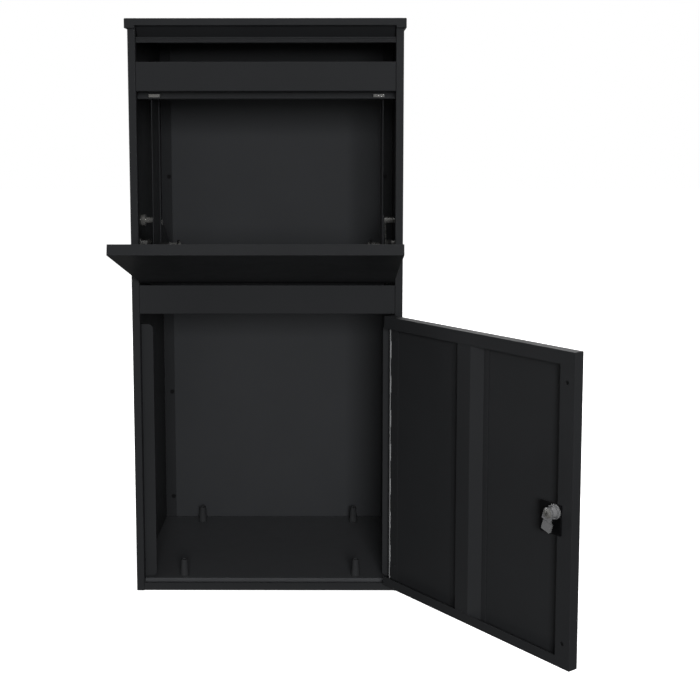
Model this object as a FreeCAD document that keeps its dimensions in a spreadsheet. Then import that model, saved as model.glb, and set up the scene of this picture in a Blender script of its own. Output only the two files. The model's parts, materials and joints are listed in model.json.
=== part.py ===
import FreeCAD, Part
import os
import re
import Sketcher

# Parcel drop box: folded sheet-steel cabinet with a letter slot, a pull-down parcel flap linked to a
# swinging baffle tray, and a lower collection door with a cam lock.
# X to the right, Y into the cabinet (front plane at -halfDepth), Z up, origin at the base's centre.
# A depth is measured back from the front plane. Millimetres.

os.makedirs("parts", exist_ok=True)
doc = FreeCAD.newDocument("ParcelDropBox")
sheet = doc.addObject("Spreadsheet::Sheet", "Sizes")

SIZES = {
    # cabinet
    "halfWidth": 225, "halfDepth": 180, "cabinetHeight": 960, "gauge": 1.2, "bend": 1.8,
    "jambEdge": 212, "jambLip": 14, "rearEdge": 204, "panelTop": 958.6, "play": 0.3,
    "roofEdge": 228.5, "roofFront": 10, "roofRear": 1.8, "roofLip": 11.5, "roofSkirt": 15.5,
    "sillTop": 13.6, "sillLedge": 19, "floorTop": 14.5, "floorFront": 19.3, "floorRear": 354,
    "bushX": 148, "bushY": 145, "bushBore": 4.5, "bushFoot": 8, "bushTip": 5.6, "bushTop": 43,
    "rivetX": 209, "rivetShank": 2.3, "rivetHead": 4.2, "rivetLow": 55, "rivetStep": 212,
    "rivetDome": 1.4, "rivetSet": 1.1, "bushShoulder": 3,
    # fascias, letter slot and stop rail
    "lowFasciaFoot": 476, "lowFasciaTop": 524, "topFasciaFoot": 843, "topFasciaTop": 891,
    "fasciaFold": 14, "shelfFoot": 502, "shelfDepth": 55, "shelfHalf": 194,
    "visorFoot": 921.5, "visorFold": 931, "visorTop": 957, "visorDepth": 3, "visorTail": 17, "visorLean": 27,
    "beadDepth": 1.4, "beadEdge": 3, "beadRound": 1.4,
    "railFoot": 831, "railTop": 880, "railFront": 17.6, "railRear": 35, "railNose": 3,
    "catchX": 185, "catchHalf": 9, "catchTop": 839, "catchPole": 1.2,
    # parcel flap, turning about a pin behind the front plane
    "flapPinDepth": 9, "flapPinHeight": 536, "flapFoot": -6, "flapTop": 305, "flapHalf": 211,
    "flapFace": -9, "flapRim": 7, "linerFace": 5, "flapOpen": 75.5, "pinRadius": 3, "pinHead": 4.6,
    "armInner": 204, "armOuter": 206.5, "armFoot": 8, "footLow": 24, "footHigh": 90, "screwX": 198.5,
    # parallel linkage: equal cranks on the flap and on the baffle ears
    "crank": 45, "crankRest": -10, "linkInner": 200, "linkOuter": 202, "linkHalf": 8,
    "earInner": 196, "earOuter": 198, "pivotDepth": 109, "pivotHeight": 625, "studRadius": 4,
    "boss": 10, "bossHeight": 7, "sleeve": 6.5, "shoulder": 5.5, "hexRadius": 5.6, "spacerRadius": 5,
    "stopDepth": 82, "stopHeight": 588, "fingerRest": 26, "fingerReach": 94, "fingerHalf": 8,
    # baffle tray
    "trayHalf": 190, "trayGauge": 1.5, "trayTop": 560, "trayBend": 237, "trayRear": 348,
    "trayFront": 95, "trayFrontTop": 543, "trayLip": 8, "trayRound": 6,
    "tabDepth": 250, "tabHeight": 568, "tabHalf": 12, "tabInner": 162, "tabOuter": 180,
    # guards beside the parcel inlet
    "guardInner": 192, "guardFront": 36.5, "guardRear": 120, "guardHem": 8, "guardRound": 6,
    "guardFoot": 578, "guardTop": 842,
    # collection door, turning about the continuous hinge at the right-hand front edge
    "hingeX": 206.5, "doorOpen": 127.2, "doorLow": 15.5, "doorHigh": 474.5, "doorReach": 416.5,
    "doorPan": 18, "doorNear": 3, "topBorder": 20, "lowBorder": 15, "freeBorder": 27,
    "hatNear": 163, "hatFlatNear": 178, "hatFlatFar": 207, "hatFar": 222, "hatFoot": 10,
    "bufferIn": 14, "bufferHole": 3.2, "bufferLow": 52, "bufferHigh": 430,
    "stopEdge": 193.5, "stopPlane": 19.2, "stopLow": 19, "stopHigh": 456, "stopRound": 8, "stopLeg": 22,
    "knuckle": 2.5, "hingePin": 1.25, "pinPlay": 0.05, "hingeLow": 23, "hingeHigh": 460, "leafWidth": 20,
    "leafGauge": 1, "leafRivetStep": 96.75,
    # cam lock
    "lockReach": 386, "lockHeight": 242, "lockHead": 11.5, "lockBarrel": 8, "lockLength": 31, "lockFlange": 5,
    "plugRadius": 5.5, "plugFace": 5.6, "keyHalf": 0.9, "keyReach": 3.6,
    "camLength": 30, "camHalf": 8.5, "camGauge": 3, "camKnee": 11, "camJoggle": 5, "camLean": 17,
    "plateNear": 357, "plateFar": 398, "plateLow": 208, "plateHigh": 253,
}
for row, (alias, size) in enumerate(SIZES.items(), 1):
    sheet.set(f"A{row}", alias)
    sheet.set(f"B{row}", str(size))
    sheet.setAlias(f"B{row}", alias)
doc.recompute()

nodes = {}


def value(expression):
    return float(sheet.evalExpression(str(expression)))


def bind(item, prop, expression):
    linked = re.sub(r"[A-Za-z]\w*", lambda m: f"Sizes.{m[0]}" if m[0] in SIZES else m[0], str(expression))
    item.setExpression(prop, linked)


def depth(expression):
    # Y of a place that lies this far behind the front plane
    return f"({expression}) - halfDepth"


def new_body(label):
    body = doc.addObject("PartDesign::Body", label)
    body.Label = label
    nodes[label] = body
    return body


def new_sketch(body, plane, low, high, cut):
    # XY and YZ planes face +Z and +X; the XZ plane faces -Y, so its offsets change sign.
    # A pad starts at the low end of its span along the normal, and a pocket cuts back from the high end.
    low, high = (f"-({high})", f"-({low})") if plane == "XZ" else (low, high)
    sketch = body.newObject("Sketcher::SketchObject", f"{body.Name}_sketch")
    support = next(f for f in body.Origin.OriginFeatures if f.Role == f"{plane}_Plane")
    sketch.AttachmentSupport = [(support, "")]
    sketch.MapMode = "FlatFace"
    bind(sketch, "AttachmentOffset.Base.z", high if cut else low)
    return sketch


def draw_outline(sketch, corners):
    spots = [FreeCAD.Vector(value(u), value(v), 0) for u, v in corners]
    first = sketch.GeometryCount
    for start, end in zip(spots, spots[1:] + spots[:1]):
        sketch.addGeometry(Part.LineSegment(start, end))
    for index, (u, v) in enumerate(corners):
        line = first + index
        before = first + (index - 1) % len(corners)
        sketch.addConstraint(Sketcher.Constraint("Coincident", before, 2, line, 1))
        u_rule = sketch.addConstraint(Sketcher.Constraint("DistanceX", line, 1, spots[index].x))
        v_rule = sketch.addConstraint(Sketcher.Constraint("DistanceY", line, 1, spots[index].y))
        bind(sketch, f"Constraints[{u_rule}]", u)
        bind(sketch, f"Constraints[{v_rule}]", v)


def draw_circle(sketch, u, v, radius):
    centre = FreeCAD.Vector(value(u), value(v), 0)
    circle = sketch.addGeometry(Part.Circle(centre, FreeCAD.Vector(0, 0, 1), value(radius)))
    u_rule = sketch.addConstraint(Sketcher.Constraint("DistanceX", circle, 3, centre.x))
    v_rule = sketch.addConstraint(Sketcher.Constraint("DistanceY", circle, 3, centre.y))
    radius_rule = sketch.addConstraint(Sketcher.Constraint("Radius", circle, value(radius)))
    bind(sketch, f"Constraints[{u_rule}]", u)
    bind(sketch, f"Constraints[{v_rule}]", v)
    bind(sketch, f"Constraints[{radius_rule}]", radius)


def shape_step(body, plane, low, high, outline=None, circles=(), cut=False):
    sketch = new_sketch(body, plane, low, high, cut)
    if outline:
        draw_outline(sketch, outline)
    for circle in circles:
        draw_circle(sketch, *circle)
    before = body.Shape.Volume if cut else 0
    kind = "Pocket" if cut else "Pad"
    feature = body.newObject(f"PartDesign::{kind}", f"{body.Name}_{kind.lower()}")
    feature.Profile = sketch
    bind(feature, "Length", f"({high}) - ({low})")
    doc.recompute()
    if cut and body.Shape.Volume > before - 1e-3:
        raise RuntimeError(f"{body.Label}: a pocket cuts nothing")
    return feature


def pad(body, plane, low, high, outline=None, circles=()):
    return shape_step(body, plane, low, high, outline, circles)


def pocket(body, plane, low, high, outline=None, circles=()):
    return shape_step(body, plane, low, high, outline, circles, cut=True)


def round_edges(body, plane, corners, radius):
    # rounds the edges that run along the plane's normal through the given outline corners
    axis = {"XY": 2, "XZ": 1, "YZ": 0}[plane]
    flat = [index for index in range(3) if index != axis]
    places = [(value(u), value(v)) for u, v in corners]
    names = []
    for index, edge in enumerate(body.Tip.Shape.Edges, 1):
        start, end = edge.Vertexes[0].Point, edge.Vertexes[-1].Point
        straight = all(abs(start[k] - end[k]) < 1e-4 for k in flat) and (start - end).Length > 1e-3
        if straight and any(abs(start[flat[0]] - u) + abs(start[flat[1]] - v) < 1e-3 for u, v in places):
            names.append(f"Edge{index}")
    fillet = body.newObject("PartDesign::Fillet", f"{body.Name}_fillet")
    fillet.Base = (body.Tip if body.Tip != fillet else fillet.BaseFeature, names)
    bind(fillet, "Radius", radius)
    doc.recompute()


def rectangle(u0, u1, v0, v1):
    return [(u0, v0), (u1, v0), (u1, v1), (u0, v1)]


def block(label, x, y, z):
    body = new_body(label)
    pad(body, "XY", z[0], z[1], rectangle(x[0], x[1], y[0], y[1]))
    return body


def across(side, inner, outer):
    # the X span from inner to outer on one side, as (low, high)
    return (inner, outer) if side > 0 else (f"-({outer})", f"-({inner})")


def group(label, bodies):
    # identical pieces share one node as separate solids
    for body in bodies:
        del nodes[body.Label]
    compound = doc.addObject("Part::Compound", label)
    compound.Label = label
    compound.Links = bodies
    nodes[label] = compound
    return compound


def seat(names, x, y, z, turn_axis, angle):
    # bodies drawn about a hinge axis are turned by the rest angle and carried to that axis
    turn = FreeCAD.Rotation(turn_axis, value(angle))
    for name in names:
        body = nodes[name]
        members = body.Links if body.TypeId == "Part::Compound" else [body]
        for member in members:
            member.Placement = FreeCAD.Placement(FreeCAD.Vector(value(x), value(y), value(z)), turn)


SIDES = {"left": -1, "right": 1}
FRONT = "-halfDepth"
REAR = "halfDepth"
BACK_PLANE = "halfDepth - gauge"


# ---------------------------------------------------------------- cabinet shell
def side_panel(name, side):
    # wall with a front jamb, its lip and a rear flange, folded from one sheet
    def u(expression):
        return f"{side} * ({expression})"
    wall_in, jamb_in = u("halfWidth - gauge"), u("jambEdge + gauge")
    lip_end = f"{FRONT} + jambLip"
    front_in, rear_in, rear_out = f"{FRONT} + gauge", "halfDepth - 2 * gauge", BACK_PLANE
    outer = [(u("jambEdge"), FRONT), (u("halfWidth"), FRONT), (u("halfWidth"), rear_out)]
    inner = [(wall_in, rear_in), (wall_in, front_in), (jamb_in, front_in)]
    outline = [(u("jambEdge"), lip_end)] + outer + [(u("rearEdge"), rear_out), (u("rearEdge"), rear_in)]
    outline += inner + [(jamb_in, lip_end)]
    body = new_body(f"{name}_side_panel")
    pad(body, "XY", "0", "panelTop", outline)
    round_edges(body, "XY", outer, "bend")
    round_edges(body, "XY", inner, "bend - gauge")
    pocket(body, "XZ", rear_in, rear_out, circles=[(u("rivetX"), z, "rivetShank") for z in rivet_heights])


rivet_heights = [f"rivetLow + {step} * rivetStep" for step in range(5)]
for name, side in SIDES.items():
    side_panel(name, side)

back = block("back_panel", ("-halfWidth", "halfWidth"), (BACK_PLANE, REAR), ("0", "panelTop"))
rivet_holes = [(f"{side} * rivetX", z, "rivetShank") for side in SIDES.values() for z in rivet_heights]
pocket(back, "XZ", BACK_PLANE, REAR, circles=rivet_holes)


def blind_rivet(label, x, z):
    # domed head inside the cabinet, set head on the back panel's outer face
    body = new_body(label)
    inside, outside = "halfDepth - 2 * gauge", REAR
    pad(body, "XZ", f"{inside} - rivetDome", inside, circles=[(x, z, "rivetHead")])
    pad(body, "XZ", inside, outside, circles=[(x, z, "rivetShank - pinPlay")])
    pad(body, "XZ", outside, f"{outside} + rivetSet", circles=[(x, z, "rivetHead")])
    return body


rivets = [blind_rivet(f"rivet_{side}_{step}", f"{sign} * rivetX", z)
          for side, sign in SIDES.items() for step, z in enumerate(rivet_heights)]
group("back_panel_rivets", rivets)

# the roof's skirt is deeper over the side walls and jambs than along the front
roof = new_body("roof_cap")
roof_y = (f"{FRONT} - roofFront", f"{REAR} + roofRear")
pad(roof, "XY", "cabinetHeight - roofSkirt", "cabinetHeight", rectangle("-roofEdge", "roofEdge", *roof_y))
pocket(roof, "XY", "cabinetHeight - roofSkirt", "cabinetHeight - gauge",
       rectangle("-roofEdge + gauge", "roofEdge - gauge", f"{roof_y[0]} + gauge", f"{roof_y[1]} - gauge"))
pocket(roof, "XY", "cabinetHeight - roofSkirt", "cabinetHeight - roofLip",
       rectangle("-jambEdge", "jambEdge", roof_y[0], f"{roof_y[0]} + 2 * gauge"))
round_edges(roof, "YZ", [(y, "cabinetHeight") for y in roof_y], "bend")
round_edges(roof, "XZ", [("-roofEdge", "cabinetHeight"), ("roofEdge", "cabinetHeight")], "bend")


def folded(label, half, section, bends=(), inner_bends=()):
    # a strip across the cabinet: its section, drawn in the YZ plane, runs from -half to +half
    body = new_body(label)
    pad(body, "YZ", f"-({half})", half, section)
    if bends:
        round_edges(body, "YZ", bends, "bend")
    if inner_bends:
        round_edges(body, "YZ", inner_bends, "bend - gauge")
    return body


def channel(label, half, low, high, fold):
    # front face with both edges folded back
    tail = depth(fold)
    outer = [(FRONT, low), (FRONT, high)]
    inner = [(depth("gauge"), f"{high} - gauge"), (depth("gauge"), f"{low} + gauge")]
    start = [(tail, f"{low} + gauge"), (tail, low)]
    end = [(tail, high), (tail, f"{high} - gauge")]
    return folded(label, half, start + outer + end + inner, bends=outer, inner_bends=inner)


channel("upper_fascia", "jambEdge - play", "topFasciaFoot", "topFasciaTop", "fasciaFold")


def angle_strip(label, half, foot, up_end, back_end):
    # L section at the front plane: a leg rising to up_end and a foot running back to back_end
    outer = [(back_end, foot), (FRONT, foot), (FRONT, up_end)]
    inner = [(depth("gauge"), up_end), (depth("gauge"), f"{foot} + gauge"), (back_end, f"{foot} + gauge")]
    return folded(label, half, outer + inner, bends=[outer[1]], inner_bends=[inner[1]])


angle_strip("lower_fascia", "jambEdge - play", "lowFasciaFoot", "lowFasciaTop", depth("fasciaFold"))
angle_strip("front_sill", "jambEdge - play", "0", "sillTop", depth("sillLedge"))

# the sill behind the flap hinge: a leg behind the lower fascia and a ledge running back
shelf = [(depth("gauge"), "shelfFoot"), (depth("gauge"), "lowFasciaTop"),
         (depth("shelfDepth"), "lowFasciaTop"),
         (depth("shelfDepth"), "lowFasciaTop - gauge"), (depth("2 * gauge"), "lowFasciaTop - gauge"),
         (depth("2 * gauge"), "shelfFoot")]
folded("inlet_sill", "shelfHalf", shelf, bends=[shelf[1]], inner_bends=[shelf[4]])

# floor pan standing on turned-down edges, with four holes for the ground anchors
floor_outer = [(depth("floorFront"), "0"), (depth("floorFront"), "floorTop"),
               (depth("floorRear"), "floorTop"), (depth("floorRear"), "0")]
floor_inner = [(depth("floorRear - gauge"), "0"), (depth("floorRear - gauge"), "floorTop - gauge"),
               (depth("floorFront + gauge"), "floorTop - gauge"), (depth("floorFront + gauge"), "0")]
floor = folded("floor_pan", "halfWidth - gauge - play", floor_outer + floor_inner, bends=floor_outer[1:3],
               inner_bends=floor_inner[1:3])
corners = [(f"{i} * bushX", f"{j} * bushY") for i in (-1, 1) for j in (-1, 1)]
pocket(floor, "XY", "floorTop - gauge", "floorTop", circles=[(x, y, "bushFoot") for x, y in corners])


def solid(kind, label, base, **lengths):
    # a Part primitive standing at base, with its sizes bound to the sheet
    item = doc.addObject(f"Part::{kind}", label)
    for prop, expression in lengths.items():
        bind(item, prop, expression)
    for axis, expression in zip("xyz", base):
        bind(item, f"Placement.Base.{axis}", expression)
    return item


def anchor_bush(label, x, y):
    # tapered collar standing in the floor, with a through bore for the ground anchor
    shoulder = "floorTop + bushShoulder"
    foot = solid("Cylinder", f"{label}_foot", (x, y, "0"), Radius="bushFoot - pinPlay", Height=shoulder)
    taper = solid("Cone", f"{label}_taper", (x, y, shoulder), Radius1="bushFoot - pinPlay",
                  Radius2="bushTip", Height=f"bushTop - ({shoulder})")
    bore = solid("Cylinder", f"{label}_bore", (x, y, "-1"), Radius="bushBore", Height="bushTop + 2")
    collar = doc.addObject("Part::Fuse", f"{label}_collar")
    collar.Base = foot
    collar.Tool = taper
    bush = doc.addObject("Part::Cut", label)
    bush.Base = collar
    bush.Tool = bore
    nodes[bush.Label] = bush
    return bush


group("anchor_bushes", [anchor_bush(f"bush_{k}", x, y) for k, (x, y) in enumerate(corners)])

# ---------------------------------------------------------------- letter slot, stop rail and catches
# rain visor: hangs from the roof, runs back under it and ends in a beaded rail over the letter slot
visor = new_body("letter_visor")
visor_face, visor_back = depth("visorDepth"), depth("visorDepth + gauge")
visor_bead = depth("visorDepth + beadDepth")
visor_bend, bead_low, bead_high = "cabinetHeight - roofLip", "visorFoot + beadEdge", "visorFold - beadEdge"
visor_rail = [(visor_face, "visorFold"), (visor_face, bead_high), (visor_bead, f"{bead_high} - 0.6"),
              (visor_bead, f"{bead_low} + 0.6"), (visor_face, bead_low), (visor_face, "visorFoot"),
              (depth("visorTail"), "visorFoot"), (depth("visorTail"), "visorFoot + gauge"),
              (depth("visorDepth + beadDepth + gauge"), "visorFoot + gauge"),
              (depth("visorDepth + beadDepth + gauge"), "visorFold - gauge")]
visor_lean = [(depth("visorLean + 1.6"), "visorFold - gauge"), (depth("visorLean + 1.6"), "visorFold + 0.6"),
              (visor_back, f"{visor_bend} + 0.8")]
pad(visor, "YZ", "-jambEdge + play", "jambEdge - play",
    [(visor_face, "visorTop"), (visor_face, visor_bend), (depth("visorLean"), "visorFold")] + visor_rail
    + visor_lean + [(visor_back, "visorTop")])
round_edges(visor, "YZ", [visor_rail[0], visor_rail[5]], "beadRound")
round_edges(visor, "YZ", [visor_rail[1], visor_rail[4]], "beadRound / 2")

# the closed flap rests against the rail's foot; its tall leg hangs behind the upper fascia
rail_end, nose_back = depth("railRear"), depth("railFront + gauge")
rail_section = [(rail_end, "railTop"), (rail_end, "railFoot + gauge"), (nose_back, "railFoot + gauge"),
                (nose_back, "railFoot + railNose"), (depth("railFront"), "railFoot + railNose"),
                (depth("railFront"), "railFoot"), (f"{rail_end} + gauge", "railFoot"),
                (f"{rail_end} + gauge", "railTop")]
folded("flap_stop_rail", "halfWidth - gauge - play", rail_section, bends=[rail_section[5]])


def flap_catch(label, side):
    # magnetic catch: housing on the rail's foot with two pole plates showing at the front
    body = new_body(label)
    x = (f"{side} * catchX - catchHalf", f"{side} * catchX + catchHalf")
    pad(body, "XY", "railFoot + gauge", "catchTop",
        rectangle(x[0], x[1], depth("railFront + gauge + 0.1"), depth("railRear - 0.1")))
    for z in ("railFoot + railNose + 0.7", "catchTop - catchPole - 0.4"):
        pad(body, "XY", z, f"{z} + catchPole",
            rectangle(x[0], x[1], depth("railFront - catchPole"), depth("railFront + gauge + 0.4")))
    return body


group("flap_catches", [flap_catch(f"catch_{name}", side) for name, side in SIDES.items()])


# ---------------------------------------------------------------- inside fittings fixed to the cabinet
def turned(label, side, steps, y, z):
    # round piece along X: steps of (inner X, outer X, radius) on one side of the cabinet
    body = new_body(label)
    for inner, outer, radius in steps:
        low, high = across(side, inner, outer)
        pad(body, "YZ", low, high, circles=[(y, z, radius)])
    return body


def hexagon(u, v, radius, turn=0):
    return [(f"{u} + ({radius}) * cos({angle})", f"{v} + ({radius}) * sin({angle})")
            for angle in range(turn, turn + 360, 60)]


def both(label, make):
    return group(label, [make(f"{label}_{name}", side) for name, side in SIDES.items()])


def guard(name, side):
    # plate beside the parcel inlet, with a doubled rear edge and a top flange that meets the side wall
    body = new_body(f"{name}_guard")
    low, high = across(side, "guardInner", "guardInner + gauge")
    pad(body, "YZ", low, high,
        rectangle(depth("guardFront"), depth("guardRear"), "guardFoot", "guardTop"))
    round_edges(body, "YZ", [(depth(d), "guardFoot") for d in ("guardFront", "guardRear")], "guardRound")
    low, high = across(side, "guardInner + gauge - 0.2", "halfWidth - gauge")
    pad(body, "YZ", low, high,
        rectangle(depth("guardFront"), depth("guardRear"), "guardTop - gauge", "guardTop"))
    low, high = across(side, "guardInner - gauge", "guardInner + 0.2")
    pad(body, "YZ", low, high,
        rectangle(depth("guardRear - guardHem"), depth("guardRear"), "guardFoot + guardHem", "guardTop"))


def door_stop(name, side):
    # strip behind the door opening: rounded flange facing the door and a leg along the side wall
    body = new_body(f"{name}_door_stop")
    low, high = across(side, "stopEdge", "halfWidth - gauge")
    plane = (depth("stopPlane"), depth("stopPlane + gauge"))
    pad(body, "XZ", plane[0], plane[1], rectangle(low, high, "stopLow", "stopHigh"))
    edge = f"{side} * stopEdge"
    round_edges(body, "XZ", [(edge, "stopLow"), (edge, "stopHigh")], "stopRound")
    low, high = across(side, "halfWidth - 2 * gauge", "halfWidth - gauge")
    pad(body, "XZ", plane[0], depth("stopPlane + stopLeg"), rectangle(low, high, "stopLow", "stopHigh"))


for name, side in SIDES.items():
    guard(name, side)
    door_stop(name, side)

PIVOT = (depth("pivotDepth"), "pivotHeight")
STOP = (depth("stopDepth"), "stopHeight")
FLAP_PIN = (depth("flapPinDepth"), "flapPinHeight")


def pivot_stud(label, side):
    # boss on the wall, shoulder up to the ear and the journal through it
    steps = [("halfWidth - gauge - bossHeight", "halfWidth - gauge", "boss"),
             ("earOuter + play", "halfWidth - gauge - bossHeight", "studRadius + 1.2"),
             ("earInner - 2.6", "earOuter + play", "studRadius")]
    return turned(label, side, steps, *PIVOT)


def stop_stud(label, side):
    steps = [("halfWidth - gauge - 3", "halfWidth - gauge", "boss - 3"),
             ("armInner - 0.8", "halfWidth - gauge - 3", "studRadius")]
    return turned(label, side, steps, *STOP)


def stop_sleeve(label, side):
    body = turned(label, side, [("armInner - 0.5", "armOuter + 3", "sleeve")], *STOP)
    low, high = across(side, "armInner - 1", "armOuter + 4")
    pocket(body, "YZ", low, high, circles=[(*STOP, "studRadius")])
    return body


def flap_pin(label, side):
    # pin through the jamb lip and the flap's side rim, with a head on both ends
    steps = [("jambEdge + gauge", "jambEdge + gauge + 2.4", "pinHead"),
             ("flapHalf - gauge - 2.5", "jambEdge + gauge", "pinRadius"),
             ("flapHalf - gauge - 4.5", "flapHalf - gauge - 2.5", "pinHead")]
    return turned(label, side, steps, *FLAP_PIN)


both("baffle_pivot_studs", pivot_stud)
both("flap_stop_studs", stop_stud)
both("flap_stop_sleeves", stop_sleeve)
both("flap_pivot_pins", flap_pin)
for name, side in SIDES.items():
    low, high = across(side, "jambEdge - 1", "jambEdge + gauge + 1")
    pocket(nodes[f"{name}_side_panel"], "YZ", low, high, circles=[(*FLAP_PIN, "pinRadius")])

# ---------------------------------------------------------------- parcel flap
# drawn closed about its pivot pin: Y back from the pin, Z up from the pin
flap = new_body("flap_panel")
pad(flap, "XZ", "flapFace", "flapRim", rectangle("-flapHalf", "flapHalf", "flapFoot", "flapTop"))
flap_edges = [(x, z) for x in ("-flapHalf", "flapHalf") for z in ("flapFoot", "flapTop")]
round_edges(flap, "XZ", flap_edges, "bend")
pocket(flap, "XZ", "flapFace + gauge", "flapRim",
       rectangle("-flapHalf + gauge", "flapHalf - gauge", "flapFoot + gauge", "flapTop - gauge"))
round_edges(flap, "YZ", [("flapFace", "flapFoot"), ("flapFace", "flapTop")], "1")
pocket(flap, "YZ", "-flapHalf - 1", "flapHalf + 1", circles=[("0", "0", "pinRadius + pinPlay")])

liner_half = "flapHalf - gauge - 1.5"
liner = new_body("flap_liner")
pad(liner, "XZ", "linerFace - 0.8", "linerFace",
    rectangle(f"-({liner_half})", liner_half, "footLow - 8", "flapTop - gauge - play"))
for z0, z1 in (("footLow - 8", "footLow - 7.2"), ("flapTop - gauge - play - 0.8", "flapTop - gauge - play")):
    pad(liner, "XZ", "flapFace + gauge", "linerFace - 0.4",
        rectangle(f"-({liner_half})", liner_half, z0, z1))

crank_closed = "(crankRest - flapOpen)"
finger_closed = "(fingerRest - flapOpen)"


def ray(angle, reach, offset):
    # a corner at this reach along a ray from the pin, moved sideways by offset
    return (f"({reach}) * cos({angle}) - ({offset}) * sin({angle})",
            f"({reach}) * sin({angle}) + ({offset}) * cos({angle})")


def flap_arm(name, side):
    # foot screwed to the liner, crank for the link, and the finger that meets the stop sleeve
    body = new_body(f"{name}_flap_arm")
    low, high = across(side, "armInner", "armOuter")
    crank_end = [ray(crank_closed, "crank + 9", "7"), ray(crank_closed, "crank + 9", "-7")]
    finger_end = [ray(finger_closed, "fingerReach", "fingerHalf"),
                  ray(finger_closed, "fingerReach", "-fingerHalf")]
    outline = [("armFoot", "footHigh"), ("armFoot", "-10"), crank_end[1], crank_end[0],
               ray(finger_closed, "crank", "-fingerHalf - 4"), finger_end[1], finger_end[0],
               ray(finger_closed, "30", "fingerHalf"), ("armFoot + 9", "footHigh")]
    pad(body, "YZ", low, high, outline, circles=[(*ray(crank_closed, "crank", "0"), "pinRadius")])
    round_edges(body, "YZ", crank_end, "6")
    round_edges(body, "YZ", finger_end, "5")
    low, high = across(side, "guardInner + gauge", "armOuter")
    pad(body, "YZ", low, high, rectangle("linerFace", "armFoot + 0.2", "footLow", "footHigh"))


CRANK_PIN = ray(crank_closed, "crank", "0")


def crank_pin(label, side):
    # shouldered pin: head inside the link, journal through it, and a riveted end outside the arm
    steps = [("linkInner - 3", "linkInner - play", "shoulder"),
             ("linkInner - play", "armOuter + 0.1", "pinRadius"),
             ("armOuter + 0.1", "armOuter + 1.6", "pinHead")]
    return turned(label, side, steps, *CRANK_PIN)


def arm_screw(label, side, z):
    # pan-head screw that holds the arm's foot to the liner
    body = new_body(label)
    pad(body, "XZ", "armFoot + 0.2", "armFoot + 2.4", circles=[(f"{side} * screwX", z, "3.4")])
    return body


for name, side in SIDES.items():
    flap_arm(name, side)
both("crank_pins", crank_pin)
screws = [arm_screw(f"screw_{name}_{k}", side, z) for name, side in SIDES.items()
          for k, z in enumerate(("footLow + 12", "footHigh - 12"))]
group("arm_screws", screws)
flap_nodes = ["flap_panel", "flap_liner", "left_flap_arm", "right_flap_arm", "crank_pins", "arm_screws"]
seat(flap_nodes, "0", FLAP_PIN[0], FLAP_PIN[1], FreeCAD.Vector(1, 0, 0), "flapOpen")

# ---------------------------------------------------------------- baffle and links, drawn raised
def crank_place(centre):
    return (f"{centre[0]} + crank * cos(crankRest)", f"{centre[1]} + crank * sin(crankRest)")


LINK_FRONT = crank_place(FLAP_PIN)
LINK_REAR = crank_place(PIVOT)
TAB = (depth("tabDepth"), "tabHeight")


def link(name, side):
    # flat bar with round ends between the flap's crank and the ear's crank
    body = new_body(f"{name}_link")
    low, high = across(side, "linkInner", "linkOuter")
    along = "atan2(pivotHeight - flapPinHeight; pivotDepth - flapPinDepth)"
    ends = []
    for (y, z), sign in ((LINK_FRONT, -1), (LINK_REAR, 1)):
        for offset in (-sign, sign):
            ends.append((f"{y} + linkHalf * ({sign} * cos({along}) - {offset} * sin({along}))",
                         f"{z} + linkHalf * ({sign} * sin({along}) + {offset} * cos({along}))"))
    pad(body, "YZ", low, high, ends,
        circles=[(*LINK_FRONT, "pinRadius + pinPlay"), (*LINK_REAR, "pinRadius + pinPlay")])
    round_edges(body, "YZ", ends, "linkHalf - 0.6")


def ear(name, side):
    # three-cornered plate hung on the stud; its rear corner carries the tray
    body = new_body(f"{name}_baffle_ear")
    low, high = across(side, "earInner", "earOuter")
    front = depth("pivotDepth - 11")
    outline = [(front, "pivotHeight + 11"), (depth("pivotDepth + 14"), "pivotHeight + 11"),
               (f"{LINK_REAR[0]} + 10", f"{LINK_REAR[1]} + 6"), (depth("tabDepth + 11"), "tabHeight + 4"),
               (depth("tabDepth + 11"), "tabHeight - 10"), (front, "trayFrontTop + 12")]
    bore = "studRadius + pinPlay"
    pad(body, "YZ", low, high, outline,
        circles=[(*PIVOT, bore), (*LINK_REAR, "pinRadius"), (*TAB, "pinRadius")])
    round_edges(body, "YZ", outline, "5")


# the tray is level at the rear, slopes down to the front and has short turned-down lips
tray_top = [(depth("trayRear"), "trayTop - trayLip"), (depth("trayRear"), "trayTop"),
            (depth("trayBend"), "trayTop"), (depth("trayFront"), "trayFrontTop"),
            (depth("trayFront"), "trayFrontTop - trayLip")]
tray_under = [(depth("trayFront + trayGauge"), "trayFrontTop - trayLip"),
              (depth("trayFront + trayGauge"), "trayFrontTop - trayGauge"),
              (depth("trayBend"), "trayTop - trayGauge"),
              (depth("trayRear - trayGauge"), "trayTop - trayGauge"),
              (depth("trayRear - trayGauge"), "trayTop - trayLip")]
tray = new_body("baffle_tray")
pad(tray, "YZ", "-trayHalf", "trayHalf", tray_top + tray_under)
round_edges(tray, "YZ", [tray_top[1], tray_top[3]], "bend")
round_edges(tray, "YZ", [tray_top[2]], "trayRound")


def tray_tab(label, side):
    # angle bracket on the tray, close to its edge
    body = new_body(label)
    y = (depth("tabDepth - tabHalf"), depth("tabDepth + tabHalf"))
    low, high = across(side, "tabInner", "tabOuter")
    pad(body, "YZ", low, high, rectangle(y[0], y[1], "trayTop", "trayTop + 2"))
    low, high = across(side, "tabOuter - 2", "tabOuter")
    pad(body, "YZ", low, high, rectangle(y[0], y[1], "trayTop + 1", "tabHeight + 9"),
        circles=[(*TAB, "pinRadius")])
    round_edges(body, "YZ", [(y[0], "tabHeight + 9"), (y[1], "tabHeight + 9")], "4")
    return body


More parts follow.
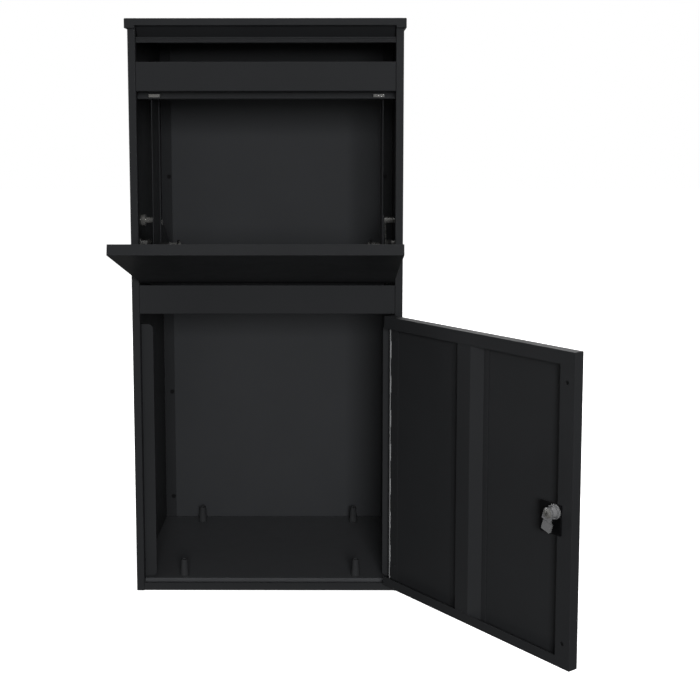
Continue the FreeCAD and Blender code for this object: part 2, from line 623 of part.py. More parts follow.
def tab_bolt(label, side):
    # hexagon bolt through bracket, spacer and ear, with a nut outside the ear
    body = new_body(label)
    head = across(side, "tabOuter - 6", "tabOuter - 2")
    pad(body, "YZ", head[0], head[1], hexagon(*TAB, "hexRadius"))
    low, high = across(side, "tabOuter - 2", "earOuter + 4")
    pad(body, "YZ", low, high, circles=[(*TAB, "pinRadius")])
    nut = across(side, "earOuter", "earOuter + 3.2")
    pad(body, "YZ", nut[0], nut[1], hexagon(*TAB, "hexRadius"))
    return body


def tab_spacer(label, side):
    body = turned(label, side, [("tabOuter", "earInner", "spacerRadius")], *TAB)
    low, high = across(side, "tabOuter - 1", "earInner + 1")
    pocket(body, "YZ", low, high, circles=[(*TAB, "pinRadius")])
    return body


def ear_pin(label, side):
    steps = [("earInner - 2.2", "earInner", "shoulder"),
             ("earInner", "linkOuter + play", "pinRadius"),
             ("linkOuter + play", "linkOuter + 1.6", "pinHead")]
    return turned(label, side, steps, *LINK_REAR)


for name, side in SIDES.items():
    link(name, side)
    ear(name, side)
both("baffle_tabs", tray_tab)
both("baffle_bolts", tab_bolt)
both("baffle_spacers", tab_spacer)
both("ear_pins", ear_pin)

# ---------------------------------------------------------------- collection door
# drawn closed about the hinge pin: X is minus the reach from the pin, Y back from the front plane
door = new_body("door_panel")
pad(door, "XZ", "0", "doorPan", rectangle("-doorReach", "-doorNear", "doorLow", "doorHigh"))
round_edges(door, "XY", [("-doorReach", "0")], "bend")
pocket(door, "YZ", "-doorReach + gauge", "-doorNear",
       rectangle("gauge", "doorPan - gauge", "doorLow + gauge", "doorHigh - gauge"))
pocket(door, "XZ", "gauge", "doorPan",
       rectangle("-doorReach + freeBorder", "-doorNear", "doorLow + lowBorder", "doorHigh - topBorder"))
pocket(door, "XZ", "doorPan - 1.5 * gauge", "doorPan",
       circles=[("-doorReach + bufferIn", z, "bufferHole") for z in ("bufferLow", "bufferHigh")])
LOCK = ("-lockReach", "lockHeight")
pocket(door, "XZ", "0", "doorPan", circles=[(*LOCK, "lockBarrel")])

# hat-section stiffener, welded to the skin and ending under the top and bottom borders
hat = new_body("door_stiffener")
hat_top = "doorPan - gauge - 0.1"
hat_outer = [("-hatNear + hatFoot", "gauge"), ("-hatNear + hatFoot", "2 * gauge"), ("-hatNear", "2 * gauge"),
             ("-hatFlatNear", hat_top), ("-hatFlatFar", hat_top), ("-hatFar", "2 * gauge"),
             ("-hatFar - hatFoot", "2 * gauge"), ("-hatFar - hatFoot", "gauge")]
hat_inner = [("-hatFar + 0.5", "gauge"), ("-hatFlatFar + 0.5", f"{hat_top} - gauge"),
             ("-hatFlatNear - 0.5", f"{hat_top} - gauge"), ("-hatNear - 0.5", "gauge")]
pad(hat, "XY", "doorLow + gauge + 0.2", "doorHigh - gauge - 0.2", hat_outer + hat_inner)
round_edges(hat, "XY", [hat_outer[3], hat_outer[4]], "1.5")

# continuous hinge: knuckles taken in turn by the door leaf and the frame leaf, on one pin
KNUCKLES = 15
knuckle_step = f"(hingeHigh - hingeLow) / {KNUCKLES}"


def knuckles(body, first):
    for index in range(first, KNUCKLES, 2):
        low = f"hingeLow + {index} * {knuckle_step} + 0.2"
        high = f"hingeLow + {index + 1} * {knuckle_step} - 0.2"
        pad(body, "XY", low, high, circles=[("0", "0", "knuckle")])
    for index in range(1 - first, KNUCKLES, 2):
        low = f"hingeLow + {index} * {knuckle_step} - 0.2"
        high = f"hingeLow + {index + 1} * {knuckle_step} + 0.2"
        reach = "knuckle + 0.3"
        pocket(body, "XY", low, high, rectangle(f"-({reach})", reach, f"-({reach})", reach))
    pocket(body, "XY", "hingeLow - 1", "hingeHigh + 1", circles=[("0", "0", "hingePin + pinPlay")])


door_leaf = new_body("hinge_door_leaf")
pad(door_leaf, "XY", "hingeLow", "hingeHigh", rectangle("-leafWidth", "-1", "gauge", "gauge + leafGauge"))
knuckles(door_leaf, 0)

frame_leaf = new_body("hinge_frame_leaf")
leaf_x = "jambEdge - hingeX"
pad(frame_leaf, "XY", "hingeLow", "hingeHigh",
    [("1", "-0.6"), (leaf_x, "-0.6"), (leaf_x, "17.5"), (f"{leaf_x} - 1", "17.5"),
     (f"{leaf_x} - 1", "0.4"), ("1", "0.4")])
knuckles(frame_leaf, 1)
frame_leaf.Placement = FreeCAD.Placement(FreeCAD.Vector(value("hingeX"), value(FRONT), 0),
                                         FreeCAD.Rotation())

hinge_pin = new_body("hinge_pin")
pad(hinge_pin, "XY", "hingeLow - 1", "hingeHigh + 1", circles=[("0", "0", "hingePin")])
hinge_pin.Placement = frame_leaf.Placement


def leaf_rivet(label, z):
    body = new_body(label)
    pad(body, "XZ", "gauge + leafGauge", "gauge + leafGauge + 1.1", circles=[("-13", z, "3")])
    return body


leaf_rivets = [leaf_rivet(f"leaf_rivet_{k}", f"hingeLow + 25 + {k} * leafRivetStep") for k in range(5)]
group("hinge_rivets", leaf_rivets)

# cam lock: head and barrel through the door, nut and black guard plate inside
lock_body = new_body("lock_body")
pad(lock_body, "XZ", "-lockFlange", "-0.01", circles=[(*LOCK, "lockHead")])
pad(lock_body, "XZ", "-0.2", "lockLength", circles=[(*LOCK, "lockBarrel - pinPlay")])
pocket(lock_body, "XZ", "-lockFlange - 1", "lockLength + 1", circles=[(*LOCK, "plugRadius + pinPlay")])

lock_nut = new_body("lock_nut")
nut_span = ("doorPan + trayGauge", "doorPan + trayGauge + 4")
pad(lock_nut, "XZ", nut_span[0], nut_span[1], hexagon(*LOCK, "lockHead", 30), circles=[(*LOCK, "lockBarrel")])

guard_plate = new_body("lock_guard_plate")
plate_outline = rectangle("-plateFar", "-plateNear", "plateLow", "plateHigh")
pad(guard_plate, "XZ", "doorPan", "doorPan + trayGauge", plate_outline, circles=[(*LOCK, "lockBarrel")])
round_edges(guard_plate, "XZ", plate_outline, "2")

plug = new_body("lock_plug")
pad(plug, "XZ", "-plugFace", "lockLength + 0.5", circles=[(*LOCK, "plugRadius")])
key_slot = rectangle(f"{LOCK[0]} - keyHalf", f"{LOCK[0]} + keyHalf", f"{LOCK[1]} - keyReach",
                     f"{LOCK[1]} + keyReach")
pocket(plug, "XZ", "-plugFace", "0", key_slot)

# the cam's arm is joggled towards the door, so that it passes close behind the door stop
cam = new_body("lock_cam")
cam_near = "lockLength + 0.5"
cam_back = f"{cam_near} + camGauge"
hub_top, cam_foot = f"{LOCK[1]} + camHalf", f"{LOCK[1]} - camLength"
knee_top, knee_foot = f"{LOCK[1]} - camKnee", f"{LOCK[1]} - camKnee - camJoggle"
cam_path = [(cam_near, hub_top), (cam_back, hub_top), (cam_back, knee_top),
            (f"{cam_back} - camJoggle", knee_foot), (f"{cam_back} - camJoggle", cam_foot),
            (f"{cam_near} - camJoggle", cam_foot), (f"{cam_near} - camJoggle", knee_foot),
            (cam_near, knee_top)]
pad(cam, "YZ", f"{LOCK[0]} - camHalf", f"{LOCK[0]} + camHalf", cam_path)
pocket(cam, "XZ", cam_near, cam_back, circles=[(*LOCK, "pinRadius")])
cam_sides = (f"{LOCK[0]} - camHalf", f"{LOCK[0]} + camHalf")
round_edges(cam, "XZ", [(x, hub_top) for x in cam_sides], "camHalf - 0.5")
round_edges(cam, "XZ", [(x, cam_foot) for x in cam_sides], "2")

cam_bolt = new_body("cam_bolt")
pad(cam_bolt, "XZ", cam_near, cam_back, circles=[(*LOCK, "pinRadius")])
pad(cam_bolt, "XZ", cam_back, f"{cam_back} + 3.4", hexagon(*LOCK, "hexRadius"))

door_nodes = ["door_panel", "door_stiffener", "hinge_door_leaf", "hinge_rivets", "lock_body", "lock_nut",
              "lock_guard_plate", "lock_plug", "lock_cam", "cam_bolt"]
seat(door_nodes, "hingeX", FRONT, "0", FreeCAD.Vector(0, 0, 1), "doorOpen")
lean = FreeCAD.Rotation(FreeCAD.Vector(0, 1, 0), -value("camLean"))
lock_centre = FreeCAD.Vector(value(LOCK[0]), 0, value(LOCK[1]))
cam.Placement = cam.Placement.multiply(FreeCAD.Placement(FreeCAD.Vector(), lean, lock_centre))

# ---------------------------------------------------------------- checks and files
doc.recompute()
broken = [item.Label for item in doc.Objects if {"Invalid", "Error"} & set(item.State)]
for label, node in nodes.items():
    if node.Shape.isNull() or not node.Shape.isValid():
        broken.append(label)
if broken:
    raise RuntimeError(f"not sound: {broken}")

for label, node in nodes.items():
    node.Shape.exportStep(f"parts/{label}.step")
print(len(nodes), "nodes written")
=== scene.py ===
import json
import math
import bmesh
import bpy
from mathutils import Matrix, Vector


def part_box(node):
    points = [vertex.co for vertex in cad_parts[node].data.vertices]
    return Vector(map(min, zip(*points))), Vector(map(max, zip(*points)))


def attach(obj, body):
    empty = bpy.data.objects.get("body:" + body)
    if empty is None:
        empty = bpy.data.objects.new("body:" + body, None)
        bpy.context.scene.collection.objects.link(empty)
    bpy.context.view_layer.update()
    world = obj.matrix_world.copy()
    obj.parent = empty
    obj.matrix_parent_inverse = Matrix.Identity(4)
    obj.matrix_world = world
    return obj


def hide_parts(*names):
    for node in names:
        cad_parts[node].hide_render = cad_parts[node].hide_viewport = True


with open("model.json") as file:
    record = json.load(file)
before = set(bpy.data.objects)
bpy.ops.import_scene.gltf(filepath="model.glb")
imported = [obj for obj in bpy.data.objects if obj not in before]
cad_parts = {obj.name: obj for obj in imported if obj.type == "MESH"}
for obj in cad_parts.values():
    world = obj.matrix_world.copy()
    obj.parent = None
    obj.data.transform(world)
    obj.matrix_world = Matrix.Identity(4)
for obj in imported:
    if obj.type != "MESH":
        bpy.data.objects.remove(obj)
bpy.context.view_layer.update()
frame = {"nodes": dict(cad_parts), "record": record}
parts = frame["nodes"]
joints = {joint["name"]: joint for joint in frame["record"]["behaviour"]["joints"]}
print("frame loaded:", len(parts), "parts")


class Wire:
    # a shader socket that can be added, scaled and compared like a number
    def __init__(self, finish, socket):
        self.finish = finish
        self.socket = socket

    def combine(self, operation, first, second):
        return self.finish.node("ShaderNodeMath", {"operation": operation}, {0: first, 1: second})

    def __add__(self, other):
        return self.combine("ADD", self, other)

    def __radd__(self, other):
        return self.combine("ADD", other, self)

    def __sub__(self, other):
        return self.combine("SUBTRACT", self, other)

    def __rsub__(self, other):
        return self.combine("SUBTRACT", other, self)

    def __mul__(self, other):
        return self.combine("MULTIPLY", self, other)

    def __rmul__(self, other):
        return self.combine("MULTIPLY", other, self)

    def __lt__(self, other):
        return self.combine("LESS_THAN", self, other)

    def clamp(self):
        return self.finish.node("ShaderNodeClamp", {}, {0: self})


class Finish:
    # the nodes of one material or world; node() adds any node and gives back one of its outputs
    def __init__(self, owner, shader="Principled BSDF"):
        self.owner = owner
        owner.use_nodes = True
        self.tree = owner.node_tree
        self.shader = self.tree.nodes[shader]

    def node(self, kind, settings, inputs, output=0):
        made = self.tree.nodes.new(kind)
        for key, setting in settings.items():
            if key == "stops":
                self.setStops(made.color_ramp, setting)
            else:
                setattr(made, key, setting)
        for key, value in inputs.items():
            self.feed(made.inputs[key], value)
        return Wire(self, made.outputs[output])

    def setStops(self, ramp, stops):
        for element, (place, level) in zip(ramp.elements, stops):
            element.position = place
            element.color = (level, level, level, 1)
        for place, level in stops[2:]:
            ramp.elements.new(place).color = (level, level, level, 1)

    def feed(self, socket, value):
        if isinstance(value, Wire):
            self.tree.links.new(value.socket, socket)
        else:
            socket.default_value = value

    def set(self, **values):
        # shader sockets by name, with _ for a space
        for name, value in values.items():
            self.feed(self.shader.inputs[name.replace("_", " ")], value)

    def coordinates(self, scale=(1, 1, 1)):
        place = self.node("ShaderNodeTexCoord", {}, {}, "Object")
        if scale == (1, 1, 1):
            return place
        return self.node("ShaderNodeMapping", {}, {"Vector": place, "Scale": scale})

    def noise(self, place, scale, detail=2.0, rough=0.5):
        return self.node("ShaderNodeTexNoise", {}, {"Vector": place, "Scale": scale, "Detail": detail,
                                                    "Roughness": rough})

    def ramp(self, level, *stops):
        return self.node("ShaderNodeValToRGB", {"stops": stops}, {0: level})

    def blend(self, factor, first, second):
        # two colours, mixed
        return self.node("ShaderNodeMix", {"data_type": "RGBA"},
                         {0: factor, 6: (*first, 1) if isinstance(first, tuple) else first,
                          7: (*second, 1) if isinstance(second, tuple) else second}, 2)

    def softNormal(self, radius):
        return self.node("ShaderNodeBevel", {"samples": 4}, {"Radius": radius})

    def edges(self, soft):
        # 0 on flat faces, 1 where an edge turns within the soft normal's radius
        true = self.node("ShaderNodeNewGeometry", {}, {}, "True Normal")
        match = self.node("ShaderNodeVectorMath", {"operation": "DOT_PRODUCT"}, {0: soft, 1: true}, "Value")
        return 1 - match

    def bump(self, height, strength, distance, normal=None):
        inputs = {"Height": height, "Strength": strength, "Distance": distance}
        if normal:
            inputs["Normal"] = normal
        return self.node("ShaderNodeBump", {}, inputs)


coatLook = {"base": (0.0185, 0.0192, 0.0205), "cloud": (0.0235, 0.0245, 0.0262),
            "worn": (0.075, 0.077, 0.082), "roughness": 0.36, "specular": 0.40, "peelScale": 520,
            "grainScale": 2300, "peelDepth": 0.00012, "edgeRadius": 0.0007}


def powderCoat(name, look):
    finish = Finish(bpy.data.materials.new(name))
    place = finish.coordinates()
    cloud = finish.noise(place, 7, 3, 0.55)
    smear = finish.noise(place, 34, 4, 0.6)
    peel = finish.noise(place, look["peelScale"], 2, 0.5)
    grain = finish.noise(place, look["grainScale"], 1, 0.5)
    soft = finish.softNormal(look["edgeRadius"])
    edge = finish.ramp(finish.edges(soft), (0.04, 0.0), (0.30, 1.0))
    rub = finish.ramp(finish.noise(place, 55, 4, 0.7), (0.48, 0.0), (0.72, 1.0))
    colour = finish.blend(cloud, look["base"], look["cloud"])
    finish.set(Base_Color=finish.blend(edge * (0.18 + 0.55 * rub), colour, look["worn"]),
               Roughness=(look["roughness"] + 0.14 * (cloud - 0.5) + 0.12 * (smear - 0.5)
                          + 0.10 * (grain - 0.5)),
               Specular_IOR_Level=look["specular"],
               Normal=finish.bump(0.7 * peel + 0.3 * grain, 0.55, look["peelDepth"], soft))
    return finish.owner


platedLook = {"base": (0.56, 0.57, 0.59), "tint": (0.70, 0.68, 0.60), "roughness": 0.27}


def platedSteel(name, look):
    # bright zinc: crystalline mottling, faint passivation tint and small handling scratches
    finish = Finish(bpy.data.materials.new(name))
    place = finish.coordinates()
    mottle = finish.noise(place, 260, 3, 0.6)
    tint = finish.noise(place, 45, 2, 0.5)
    scratch = finish.noise(finish.coordinates((60, 900, 140)), 6, 3, 0.6)
    soft = finish.softNormal(0.0004)
    colour = finish.blend(0.55 * tint + 0.25 * mottle, look["base"], look["tint"])
    finish.set(Base_Color=colour, Metallic=0.86,
               Roughness=look["roughness"] + 0.20 * (mottle - 0.5) + 0.16 * (scratch - 0.5),
               Normal=finish.bump(mottle + 0.5 * scratch, 0.35, 0.00006, soft))
    return finish.owner


rolledLook = {"base": (0.74, 0.75, 0.76), "dull": (0.52, 0.53, 0.54), "roughness": 0.30}


def rolledSteel(name, look):
    # strip steel with the rolling direction along the hinge
    finish = Finish(bpy.data.materials.new(name))
    streak = finish.noise(finish.coordinates((1600, 1600, 18)), 1, 4, 0.65)
    patch = finish.noise(finish.coordinates(), 28, 3, 0.6)
    soft = finish.softNormal(0.0003)
    finish.set(Base_Color=finish.blend(0.5 * streak + 0.4 * patch, look["base"], look["dull"]), Metallic=0.65,
               Roughness=look["roughness"] + 0.22 * (streak - 0.5) + 0.15 * (patch - 0.5),
               Normal=finish.bump(streak, 0.4, 0.00005, soft))
    return finish.owner


hingeAxis = joints["door_hinge"]["pos_m"]


def paintedHinge(name, coat, steel, knuckle=0.0027):
    # leaves sprayed with the door, knuckles left bare
    finish = Finish(bpy.data.materials.new(name))
    place = finish.coordinates()
    flat = finish.node("ShaderNodeVectorMath", {"operation": "MULTIPLY_ADD"},
                       {0: place, 1: (1, 1, 0), 2: (-hingeAxis[0], -hingeAxis[1], 0)})
    reach = finish.node("ShaderNodeVectorMath", {"operation": "LENGTH"}, {0: flat}, "Value")
    bare = knuckle > reach
    streak = finish.noise(finish.coordinates((1600, 1600, 18)), 1, 4, 0.65)
    peel = finish.noise(place, coat["peelScale"], 2, 0.5)
    paint = finish.blend(peel, coat["base"], coat["cloud"])
    finish.set(Base_Color=finish.blend(bare, paint, finish.blend(streak, steel["base"], steel["dull"])),
               Metallic=0.65 * bare, Roughness=coat["roughness"] + 0.15 * (streak - 0.5) - 0.08 * bare,
               Normal=finish.bump(peel + bare * streak, 0.4, 0.00006, finish.softNormal(0.0003)))
    return finish.owner


chromeLook = {"base": (0.72, 0.72, 0.73), "haze": (0.58, 0.585, 0.60), "roughness": 0.13}


def lockPlating(name, look):
    # die-cast zinc under nickel plate: almost smooth, slightly wavy, a little hazy in patches
    finish = Finish(bpy.data.materials.new(name))
    place = finish.coordinates()
    haze = finish.noise(place, 120, 3, 0.6)
    wave = finish.noise(place, 420, 2, 0.5)
    soft = finish.softNormal(0.0005)
    finish.set(Base_Color=finish.blend(haze, look["base"], look["haze"]), Metallic=0.80,
               Roughness=look["roughness"] + 0.14 * (haze - 0.35) + 0.05 * (wave - 0.5),
               Normal=finish.bump(wave, 0.3, 0.00008, soft))
    return finish.owner


rubberLook = {"base": (0.011, 0.011, 0.011), "bloom": (0.022, 0.022, 0.022), "roughness": 0.62,
              "grainScale": 1800, "depth": 0.00006}
plasticLook = {"base": (0.020, 0.021, 0.022), "bloom": (0.036, 0.037, 0.039), "roughness": 0.48,
               "grainScale": 1500, "depth": 0.00005}


def mouldedBlack(name, look):
    # rubber and moulded plastic: a fine grain with a grey bloom
    finish = Finish(bpy.data.materials.new(name))
    place = finish.coordinates()
    grain = finish.noise(place, look["grainScale"], 2, 0.6)
    patch = finish.noise(place, 90, 3, 0.6)
    finish.set(Base_Color=finish.blend(0.7 * patch + 0.3 * grain, look["base"], look["bloom"]),
               Roughness=look["roughness"] + 0.15 * (patch - 0.5),
               Normal=finish.bump(grain, 0.6, look["depth"], finish.softNormal(0.0005)))
    return finish.owner


hardwareLook = dict(coatLook, base=(0.006, 0.006, 0.0065), cloud=(0.010, 0.010, 0.0105), roughness=0.33,
                    worn=(0.11, 0.11, 0.115), peelDepth=0.00005, edgeRadius=0.0004)
# lighter copies of the powder coat for the back panel and floor pan: painted light, brightening the inside of
# the cabinet as if more light reached it
insidePaintedLightLook = dict(coatLook, base=(0.031, 0.0324, 0.0345), cloud=(0.039, 0.0406, 0.0435))
floorPaintedLightLook = dict(coatLook, base=(0.052, 0.0535, 0.0565), cloud=(0.064, 0.066, 0.070))
guardLook = dict(coatLook, base=(0.002, 0.0021, 0.0024), cloud=(0.0035, 0.0036, 0.004), roughness=0.5,
                 specular=0.2)
finishes = {
    "powder_coat": powderCoat("powderCoat", coatLook),
    "black_hardware": powderCoat("blackHardware", hardwareLook),
    "zinc_steel": platedSteel("zincSteel", platedLook),
    "hinge_steel": paintedHinge("hingePaint", coatLook, rolledLook),
    "lock_chrome": lockPlating("lockChrome", chromeLook),
    "black_rubber": mouldedBlack("blackRubber", rubberLook),
    "grey_plastic": mouldedBlack("greyPlastic", plasticLook),
}
slotOf = {row["node"]: row["material_slot"] for row in frame["record"]["subparts"]}
# parts whose finish isn't simply their slot's; the back panel and floor pan take lighter copies of the powder
# coat, painted light on the inside of the cabinet
ownFinishes = {
    "hinge_pin": rolledSteel("pinSteel", rolledLook),
    "back_panel": powderCoat("insidePaintedLightCoat", insidePaintedLightLook),
    "floor_pan": powderCoat("floorPaintedLightCoat", floorPaintedLightLook),
    "lock_guard_plate": powderCoat("guardBlack", guardLook),
}
for name, part in parts.items():
    for materialSlot in part.material_slots:
        materialSlot.material = ownFinishes.get(name, finishes[slotOf[name]])
print("finishes made:", len(finishes) + len(ownFinishes))


ringSegments = 48


def addRings(shape, rings, closed):
    # a skin through rings of (radius, along); a third value makes the ring a hexagon cut back to that
    # share of its radius, or with a minus sign a toothed circle with teeth that deep
    loops = []
    for radius, along, *cut in rings:
        before = len(shape.edges)
        circle = bmesh.ops.create_circle(shape, segments=ringSegments, radius=radius)["verts"]
        for index, vert in enumerate(circle):
            if cut and cut[0] > 0:
                offFlat = index * math.tau / ringSegments % (math.pi / 3) - math.pi / 6
                across = math.cos(math.pi / 6) / math.cos(offFlat)
                vert.co *= min(across, cut[0])
            elif cut and index % 2:
                vert.co *= 1 + cut[0]
            vert.co.z = along
        loops.append(list(shape.edges)[before:])
    for first, second in zip(loops, loops[1:] + loops[:1] if closed else loops[1:]):
        bmesh.ops.bridge_loops(shape, edges=first + second)
    if not closed:
        bmesh.ops.holes_fill(shape, edges=[edge for edge in shape.edges if edge.is_boundary], sides=0)


sharpEdge = 0.6  # radians between two faces, from which their edge is shaded sharp


def middleOf(node):
    # the line through a left and right pair of round parts crosses the cabinet's middle here
    low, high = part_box(node)
    return Vector((0, (low[1] + high[1]) / 2, (low[2] + high[2]) / 2))


def turnedPiece(name, skins, places, body, node):
    # skins are (rings, closed); places are (origin, direction), and the piece stands once at each
    whole = bmesh.new()
    for origin, direction in places:
        shape = bmesh.new()
        for rings, closed in skins:
            addRings(shape, rings, closed)
        bmesh.ops.recalc_face_normals(shape, faces=shape.faces)
        stand = Matrix.Translation(origin) @ Vector(direction).to_track_quat("Z", "Y").to_matrix().to_4x4()
        bmesh.ops.transform(shape, matrix=stand, verts=shape.verts)
        copy = bpy.data.meshes.new("copy")
        shape.to_mesh(copy)
        shape.free()
        whole.from_mesh(copy)
        bpy.data.meshes.remove(copy)
    for face in whole.faces:
        face.smooth = True
    for edge in whole.edges:
        edge.smooth = edge.calc_face_angle(0) < sharpEdge
    mesh = bpy.data.meshes.new(name)
    whole.to_mesh(mesh)
    whole.free()
    piece = bpy.data.objects.new(name, mesh)
    bpy.context.scene.collection.objects.link(piece)
    mesh.materials.append(finishes[slotOf[node]])
    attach(piece, body)
    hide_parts(node)
    return piece


# the lock's axis, from the outside of the door inwards; along is counted from the door's outer face
lockJoint = joints["lock_turn"]
lockInward = Vector(lockJoint["axis"])
lockJointDepth = 0.012  # the joint lies this far inside the door's outer face
lockFace = Vector(lockJoint["pos_m"]) - lockJointDepth * lockInward
lockShape = {"head": 0.0115, "barrel": 0.00795, "root": 0.0074, "bore": 0.0056, "threadStart": 0.0199,
             "pitch": 0.001, "turns": 10, "end": 0.031}


def makeLockHead(size):
    # bezel with a rolled rim, plain neck, threaded barrel and a chamfered end round the plug's bore
    rings = [(0.0058, -0.0036), (0.0062, -0.0047), (0.0080, -0.0050), (0.0098, -0.0045), (0.0113, -0.0028),
             (size["head"], -0.0016), (size["head"], -0.0003), (0.0112, 0.0), (size["barrel"], 0.0)]
    for turn in range(size["turns"]):
        start = size["threadStart"] + turn * size["pitch"]
        rings += [(size["root"], start), (size["barrel"], start + 0.4 * size["pitch"]),
                  (size["barrel"], start + 0.6 * size["pitch"])]
    rings += [(size["root"], size["end"] - 0.0006), (0.0070, size["end"]), (0.0060, size["end"]),
              (size["bore"], size["end"] - 0.0004)]
    turnedPiece("lockHead", [(rings, True)], [(lockFace, lockInward)], "door", "lock_body")


nutShape = {"radius": 0.0115, "washerLow": 0.0195, "washerHigh": 0.0203, "high": 0.0235, "chamfer": 0.0006,
            "corner": 0.90, "tooth": -0.09}


def makeLockNut(size):
    # toothed washer under a nut whose corners are turned off on both faces
    low, high, chamfer = size["washerHigh"], size["high"], size["chamfer"]
    nut = [(size["radius"], low, size["corner"]), (size["radius"], low + chamfer, 1.0),
           (size["radius"], high - chamfer, 1.0), (size["radius"], high, size["corner"]),
           (0.0086, high), (0.0080, high - chamfer), (0.0080, low)]
    washer = [(size["radius"], size["washerLow"], size["tooth"]), (size["radius"], low, size["tooth"]),
              (0.0095, low), (0.0081, low), (0.0081, size["washerLow"]), (0.0095, size["washerLow"])]
    turnedPiece("lockNut", [(nut, True), (washer, True)], [(lockFace, lockInward)], "door", "lock_nut")


camBoltShape = {"shank": 0.0029, "foot": 0.0345, "washer": 0.0070, "seat": 0.0353, "hex": 0.0056,
                "top": 0.0379}


def makeCamBolt(size):
    seat, top = size["seat"], size["top"]
    rings = [(size["shank"], 0.0318), (size["shank"], size["foot"]), (size["washer"], size["foot"]),
             (size["washer"], seat - 0.0002), (size["washer"] - 0.0003, seat), (0.0059, seat),
             (size["hex"], seat, 1.0), (size["hex"], top - 0.0007, 1.0), (size["hex"], top, 0.88),
             (0.0030, top), (0.0027, top - 0.0004)]
    turnedPiece("camBolt", [(rings, False)], [(lockFace, lockInward)], "lock", "cam_bolt")


# along is counted outwards from the middle of the cabinet
tabBoltShape = {"hex": 0.0056, "head": (0.1740, 0.1780), "nut": (0.1980, 0.2012),
                "shank": 0.0029, "end": 0.2020, "chamfer": 0.0006}


def makeTabBolts(size):
    (headTop, headFoot), (nutFoot, nutTop), chamfer = size["head"], size["nut"], size["chamfer"]
    rings = [(0.0030, headTop + 0.0003), (0.0034, headTop), (size["hex"], headTop, 0.88),
             (size["hex"], headTop + chamfer, 1.0), (size["hex"], headFoot, 1.0), (size["shank"], headFoot),
             (size["shank"], nutFoot), (size["hex"], nutFoot, 1.0), (size["hex"], nutTop - chamfer, 1.0),
             (size["hex"], nutTop, 0.88), (0.0033, nutTop), (size["shank"], nutTop - 0.0003),
             (size["shank"], size["end"] - 0.0004), (0.0024, size["end"])]
    middle = middleOf("baffle_bolts")
    turnedPiece("baffleBolts", [(rings, False)], [(middle, (1, 0, 0)), (middle, (-1, 0, 0))], "baffle",
                "baffle_bolts")


sleeveShape = {"low": 0.2035, "high": 0.2095, "radius": 0.0065, "bore": 0.0041}


def makeStopSleeves(size):
    # soft sleeves with rolled ends and a shallow waist
    low, high, radius = size["low"], size["high"], size["radius"]
    rings = [(size["bore"], low), (radius - 0.0012, low), (radius - 0.0003, low + 0.0004),
             (radius, low + 0.0012), (radius - 0.0002, (low + high) / 2), (radius, high - 0.0012),
             (radius - 0.0003, high - 0.0004), (radius - 0.0012, high), (size["bore"], high)]
    middle = middleOf("flap_stop_sleeves")
    turnedPiece("stopSleeves", [(rings, True)], [(middle, (1, 0, 0)), (middle, (-1, 0, 0))], "cabinet",
                "flap_stop_sleeves")


makeLockHead(lockShape)
makeLockNut(nutShape)
makeCamBolt(camBoltShape)
makeTabBolts(tabBoltShape)
makeStopSleeves(sleeveShape)
print("lock, bolts and sleeves made")

floorLook = {"half": 14.0, "paper": 0.86, "glow": 0.97}


def makeFloor():
    mesh = bpy.data.meshes.new("floor")
    shape = bmesh.new()
    bmesh.ops.create_grid(shape, x_segments=1, y_segments=1, size=floorLook["half"])
    shape.to_mesh(mesh)
    shape.free()
    floor = bpy.data.objects.new("floor", mesh)
    bpy.context.scene.collection.objects.link(floor)
    floor.visible_diffuse = False
    floor.visible_glossy = False
    paper = Finish(bpy.data.materials.new("palePaper"))
    speck = paper.noise(paper.coordinates(), 30, 2, 0.5)
    level = floorLook["paper"]
    paper.set(Base_Color=paper.blend(speck, (level, level, level), (level - 0.02,) * 3), Roughness=0.9,
              Specular_IOR_Level=0.1, Emission_Color=(1, 1, 1, 1), Emission_Strength=floorLook["glow"])
    mesh.materials.append(paper.owner)


# a lamp with no sheen lights surfaces but isn't mirrored in them
lampLook = [
    {"name": "frontKey", "at": (0.42, -3.95, 1.14), "aim": (0.0, 0.0, 0.5), "size": (0.9, 0.8), "power": 112,
     "sheen": False},
    {"name": "frontHigh", "at": (0.3, -3.2, 2.6), "aim": (0.0, 0.0, 0.45), "size": (2.0, 1.2), "power": 4,
     "sheen": False},
    {"name": "topBox", "at": (0.0, -0.7, 3.0), "aim": (0.0, -0.1, 0.5), "size": (2.4, 2.0), "power": 8,
     "sheen": True},
    {"name": "leftBox", "at": (-3.0, 1.0, 1.4), "aim": (0.0, 0.0, 0.5), "size": (1.4, 2.2), "power": 34,
     "sheen": True},
    {"name": "rightBox", "at": (3.0, 1.0, 1.4), "aim": (0.0, 0.0, 0.5), "size": (1.4, 2.2), "power": 34,
     "sheen": True},
    {"name": "backBox", "at": (0.4, 3.0, 3.0), "aim": (0.0, 0.0, 0.5), "size": (2.4, 1.4), "power": 75,
     "sheen": True},
]


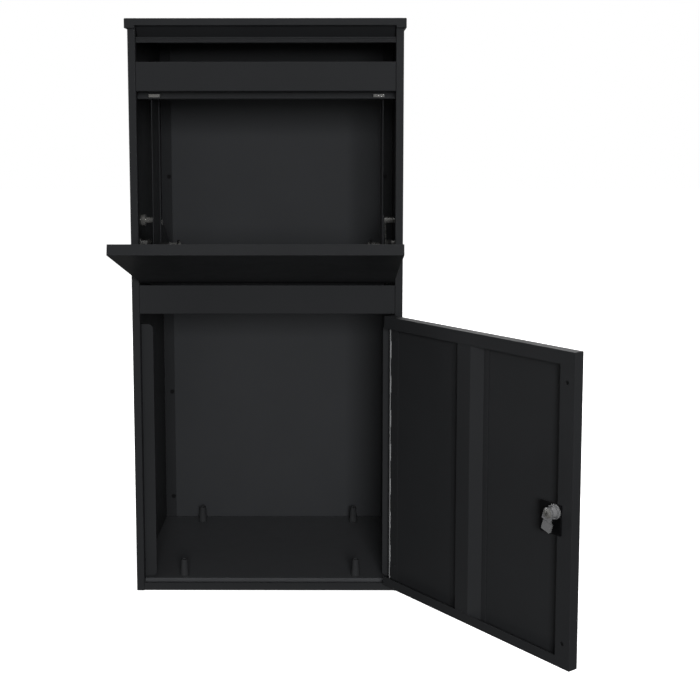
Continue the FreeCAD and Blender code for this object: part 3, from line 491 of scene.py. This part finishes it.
def makeLamp(look):
    lamp = bpy.data.lights.new(look["name"], "AREA")
    lamp.shape = "RECTANGLE"
    lamp.size, lamp.size_y = look["size"]
    lamp.energy = look["power"]
    holder = bpy.data.objects.new(look["name"], lamp)
    holder.location = look["at"]
    holder.rotation_euler = (Vector(look["aim"]) - Vector(look["at"])).to_track_quat("-Z", "Y").to_euler()
    holder.visible_glossy = look["sheen"]
    bpy.context.scene.collection.objects.link(holder)


# the room shows white, and lights the box mostly from the front
roomLook = {"seen": 1.0, "fill": 0.055, "front": 0.09, "toward": (0.0, -0.95, 0.30)}


def makeRoom():
    world = bpy.data.worlds.new("room")
    bpy.context.scene.world = world
    room = Finish(world, "Background")
    ray = room.node("ShaderNodeTexCoord", {}, {}, "Generated")
    facing = room.node("ShaderNodeVectorMath", {"operation": "DOT_PRODUCT"},
                       {0: ray, 1: roomLook["toward"]}, "Value")
    seen = room.node("ShaderNodeLightPath", {}, {}, "Is Camera Ray")
    lit = roomLook["fill"] + roomLook["front"] * facing.clamp()
    room.set(Color=(1, 1, 1, 1), Strength=seen * roomLook["seen"] + (1 - seen) * lit)


cameraLook = {"at": (0.1131, -2.1604, 0.7780), "pitch": 6.05, "yaw": -0.30, "roll": 0.04, "lens": 61.93,
              "shiftX": 0.03, "shiftY": -0.13}


def makeCamera():
    lens = bpy.data.cameras.new("camera")
    lens.lens = cameraLook["lens"]
    lens.shift_x, lens.shift_y = cameraLook["shiftX"], cameraLook["shiftY"]
    camera = bpy.data.objects.new("camera", lens)
    camera.location = cameraLook["at"]
    turn = (Matrix.Rotation(-math.radians(cameraLook["yaw"]), 4, "Z")
            @ Matrix.Rotation(math.radians(90 - cameraLook["pitch"]), 4, "X")
            @ Matrix.Rotation(-math.radians(cameraLook["roll"]), 4, "Z"))
    camera.rotation_euler = turn.to_euler()
    bpy.context.scene.collection.objects.link(camera)
    bpy.context.scene.camera = camera


makeFloor()
for look in lampLook:
    makeLamp(look)
makeRoom()
makeCamera()
bpy.context.scene.view_settings.view_transform = "Standard"
print("stage, lamps and camera ready")
